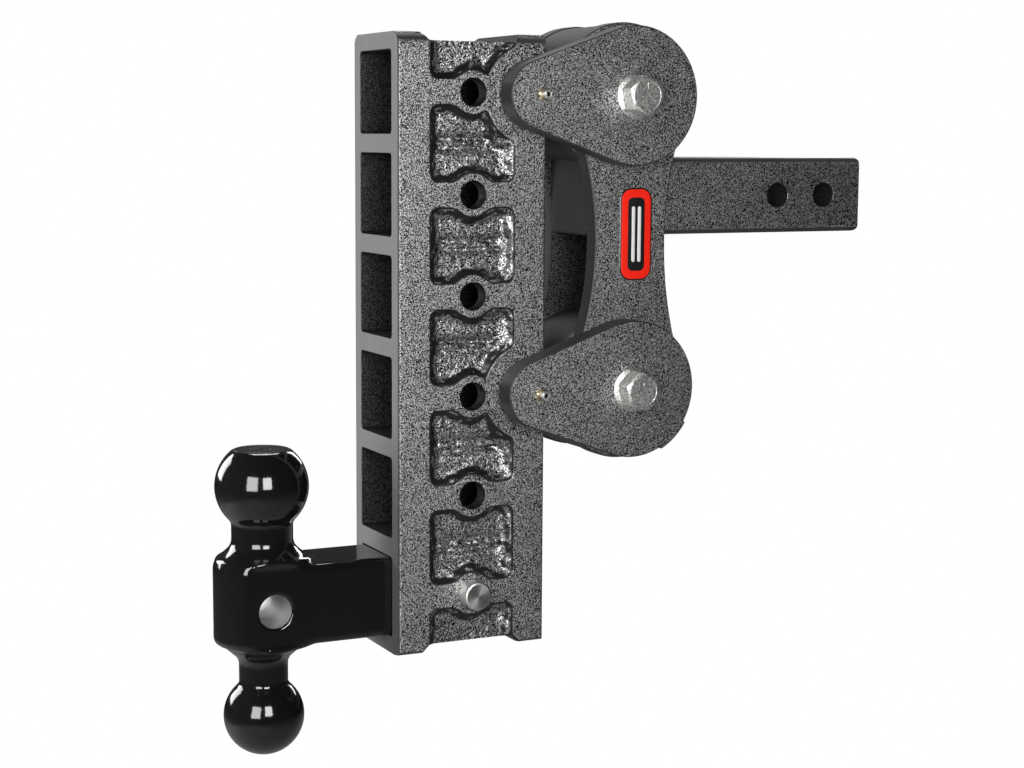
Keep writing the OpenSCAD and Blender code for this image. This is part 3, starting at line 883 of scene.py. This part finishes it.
def label():
    """A plain plate label: black border, red frame and a black field with two white bars."""
    low, high = (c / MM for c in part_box("label_plate"))
    y = -high.y
    box = (low.x, high.x, low.z, high.z)
    inner = (low.x + 5.6, high.x - 5.6, low.z + 6.2, high.z - 6.2)
    meshes = [plate_solid("border", box, 8.0, [(0.0, y), (0.0, y + 0.6), (0.3, y + 0.85)]),
              plate_solid("frame", box, 8.0,
                          [(0.9, y + 0.7), (1.0, y + 0.95), (1.5, y + 1.1), (2.6, y + 1.15)]),
              plate_solid("field", inner, 3.6, [(0.0, y + 1.0), (0.0, y + 1.2), (0.2, y + 1.25)])]
    middle = (low.x + high.x) / 2
    for left in (middle - 3.4, middle + 1.0):
        bar = (left, left + 2.4, low.z + 12.0, high.z - 12.0)
        meshes.append(plate_solid("bar", bar, 1.1, [(0.0, y + 1.1), (0.0, y + 1.3), (0.2, y + 1.4)]))
    plate = join("label_face", meshes, LABEL_BLACK, FINISH["label_red"], LABEL_BLACK, LABEL_WHITE)
    shade(plate.data, 30.0)
    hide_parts("label_plate")
    place(plate, "hitch_body")


# ---- carried-over CAD parts

for node_name, cad_object in NODES.items():
    cad_object.data.materials.clear()
    cad_object.data.materials.append(FINISH[SLOT_OF[node_name]])

SOCKET_HALF = 0.0262
RECEIVER_HALF = 0.0275
PIN_WALL_R = 0.0092
SHANK_HOLES = (0.0, 0.0373)
SHANK_HOLE_R = 0.0085
SHANK_RIM = 0.0019


def paint_receiver(mesh, middle_z):
    """Painted shade in the socket and in the pin holes."""
    mesh.materials.append(BORE_SHADE)
    for polygon in mesh.polygons:
        across = polygon.center.z - middle_z
        in_socket = max(abs(polygon.center.y), abs(across)) < SOCKET_HALF and abs(polygon.normal.x) < 0.5
        in_hole = math.hypot(polygon.center.x - PIN_AXIS.x, across) < PIN_WALL_R
        polygon.material_index = int(in_socket or in_hole)


def paint_shank(mesh):
    """Painted shade in the pin holes, worn metal on their rims and painted shade, a darker paint, on the end
    between the plates.
    """
    for material in (BORE_SHADE, WORN_EDGE, SHADED_INNER_PAINT):
        mesh.materials.append(material)
    low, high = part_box("shank")
    middle_z = (low.z + high.z) / 2
    for polygon in mesh.polygons:
        off = min(math.hypot(polygon.center.x - x, polygon.center.z - middle_z) for x in SHANK_HOLES)
        # Painted shade: the walls of the pin holes take the very dark paint, their rims worn metal.
        if off < SHANK_HOLE_R + SHANK_RIM and abs(polygon.normal.y) < 0.97:
            polygon.material_index = 1 if abs(polygon.normal.y) < 0.2 else 2
        # Painted shade: the shank's end between the plates takes the darker paint.
        if polygon.normal.x < -0.5 and polygon.center.x < -0.1:
            polygon.material_index = 3


def paint_plate(mesh):
    """Painted shade: darker paint on the face of a side plate that looks at the other one."""
    mesh.materials.append(SHADED_INNER_PAINT)
    for polygon in mesh.polygons:
        inward = -polygon.normal.y * polygon.center.y > 0.9 * abs(polygon.center.y)
        polygon.material_index = int(inward)


ROUNDED = {
    "side_plate_near": 0.9, "side_plate_far": 0.9,
    "upper_arm_near": 0.9, "upper_arm_far": 0.9, "lower_arm_near": 0.9, "lower_arm_far": 0.9,
    "pivot_bosses": 0.6, "lock_barrel": 0.8, "dust_cap": 0.8, "lock_pin": 0.6,
}
skins = {name: soften(name, width * MM) for name, width in ROUNDED.items()}
skins["shank"] = soften("shank", 2.0 * MM, segments=3)
for number in range(1, 7):
    tube_z = PIN_Z[number - 1] * MM
    skins[f"receiver_tube_{number}"] = soften(
        f"receiver_tube_{number}", 0.8 * MM,
        share=lambda middle, along: float(max(abs(middle.y), abs(middle.z - tube_z)) < RECEIVER_HALF))
for name in ("column_end_bars", "tube_seam_welds"):
    NODES[name].data.materials[0] = COLUMN_PAINT_LIT_FRONT
seam_ends()
for number in range(1, 7):
    paint_receiver(skins[f"receiver_tube_{number}"].data, PIN_Z[number - 1] * MM)
paint_shank(skins["shank"].data)
for plate in ("near", "far"):
    paint_plate(skins[f"side_plate_{plate}"].data)

for plate, plate_side, plate_seed in (("near", -1, 11), ("far", 1, 47)):
    plate_skin = column_skin(f"column_skin_{plate}", plate_side, plate_seed)
    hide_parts(f"column_plate_{plate}")
    place(plate_skin, "column")
ball_mount()
ball_cap()
label()
for prefix, bolt_axis, pivot_axis in (("upper", UPPER_AXIS, UPPER_PIVOT),
                                      ("lower", LOWER_AXIS, LOWER_PIVOT)):
    arm_bolts(prefix, bolt_axis, f"{prefix}_arms")
    grease_fittings(prefix, pivot_axis, f"{prefix}_arms")


# ---- stage

CAMERA_PLACE = Vector((-0.7510, -1.1573, 0.0387))
CAMERA_YAW, CAMERA_PITCH, CAMERA_ROLL = 25.95, -7.17, 0.33
LIGHTS_AIM = Vector((-0.28, 0.0, -0.1))


def add_camera():
    yaw, pitch, roll = (math.radians(a) for a in (CAMERA_YAW, CAMERA_PITCH, CAMERA_ROLL))
    forward = Vector((math.sin(yaw) * math.cos(pitch), math.cos(yaw) * math.cos(pitch), math.sin(pitch)))
    level = Vector((math.cos(yaw), -math.sin(yaw), 0.0))
    upright = level.cross(forward)
    right = math.cos(roll) * level + math.sin(roll) * upright
    up = -math.sin(roll) * level + math.cos(roll) * upright
    camera = bpy.data.objects.new("camera", bpy.data.cameras.new("camera"))
    camera.data.lens = 69.23
    camera.data.clip_end = 50.0
    bpy.context.scene.collection.objects.link(camera)
    turn = Matrix((right, up, -forward)).transposed().to_4x4()
    camera.matrix_world = Matrix.Translation(CAMERA_PLACE) @ turn
    bpy.context.scene.camera = camera


def add_softbox(name, azimuth, elevation, distance, size, power, mirrored=True):
    """A soft light seen from the column at that azimuth (0 is -Y, 90 is -X) and elevation."""
    a, e = math.radians(azimuth), math.radians(elevation)
    away = Vector((-math.sin(a) * math.cos(e), -math.cos(a) * math.cos(e), math.sin(e)))
    data = bpy.data.lights.new(name, "AREA")
    data.shape = "RECTANGLE"
    data.size, data.size_y = size
    data.energy = power
    light = bpy.data.objects.new(name, data)
    light.location = LIGHTS_AIM + away * distance
    light.rotation_mode = "QUATERNION"
    light.rotation_quaternion = away.to_track_quat("Z", "Y")
    light.visible_glossy = mirrored
    bpy.context.scene.collection.objects.link(light)


def white_for_camera(tree, plain, seen):
    """Light that is white where the camera sees it and dim where the object does."""
    path = tree.nodes.new("ShaderNodeLightPath")
    blend = add(tree, "ShaderNodeMixShader", Fac=path.outputs["Is Camera Ray"])
    tree.links.new(plain, blend.inputs[1])
    tree.links.new(seen, blend.inputs[2])
    return blend.outputs["Shader"]


def add_world():
    world = bpy.data.worlds.new("studio")
    world.use_nodes = True
    bpy.context.scene.world = world
    tree = world.node_tree
    room = tree.nodes["Background"]
    direction = tree.nodes.new("ShaderNodeTexCoord").outputs["Generated"]
    aim = add(tree, "ShaderNodeVectorMath", Vector=direction)
    aim.operation = "DOT_PRODUCT"
    aim.inputs[1].default_value = (0.44, 0.9, 0.05)
    glow = remap(tree, aim.outputs["Value"], 0.25, 0.75, 0.0, 0.8)
    path = tree.nodes.new("ShaderNodeLightPath")
    glow = math_node(tree, "MULTIPLY", glow, path.outputs["Is Glossy Ray"])
    tree.links.new(math_node(tree, "ADD", glow, 0.05), room.inputs["Strength"])
    seen = add(tree, "ShaderNodeBackground", Color=(1.0, 1.0, 1.0, 1.0), Strength=1.0)
    surface = white_for_camera(tree, room.outputs["Background"], seen.outputs["Background"])
    tree.links.new(surface, tree.nodes["World Output"].inputs["Surface"])


def add_floor():
    mesh = bpy.data.meshes.new("floor")
    half, height = 12.0, cad_low.z - 0.4
    mesh.from_pydata([(-half, -half, height), (half, -half, height), (half, half, height),
                      (-half, half, height)], [], [(0, 1, 2, 3)])
    material, tree, shader = new_material("floor_paper")
    set_shader(shader, Base_Color=(0.16, 0.16, 0.16, 1.0), Roughness=0.9)
    seen = add(tree, "ShaderNodeEmission", Color=(1.0, 1.0, 1.0, 1.0), Strength=1.0)
    surface = white_for_camera(tree, shader.outputs["BSDF"], seen.outputs["Emission"])
    tree.links.new(surface, tree.nodes["Material Output"].inputs["Surface"])
    new_object("floor", mesh, material)


bpy.context.scene.view_settings.view_transform = "Standard"
add_camera()
add_world()
add_floor()
add_softbox("left_box", 44.0, 10.0, 1.5, (0.68, 0.86), 15.0)
add_softbox("right_box", 9.0, 10.0, 1.0, (0.36, 0.5), 6.2)
add_softbox("left_rim", 112.0, 4.0, 1.2, (0.4, 0.9), 24.0, mirrored=False)
add_softbox("back_box", 146.0, 14.0, 1.5, (0.7, 0.8), 11.0)
add_softbox("far_box", 232.0, 18.0, 1.6, (0.6, 0.8), 12.0)
add_softbox("top_box", 200.0, 62.0, 1.5, (0.8, 0.7), 12.0)
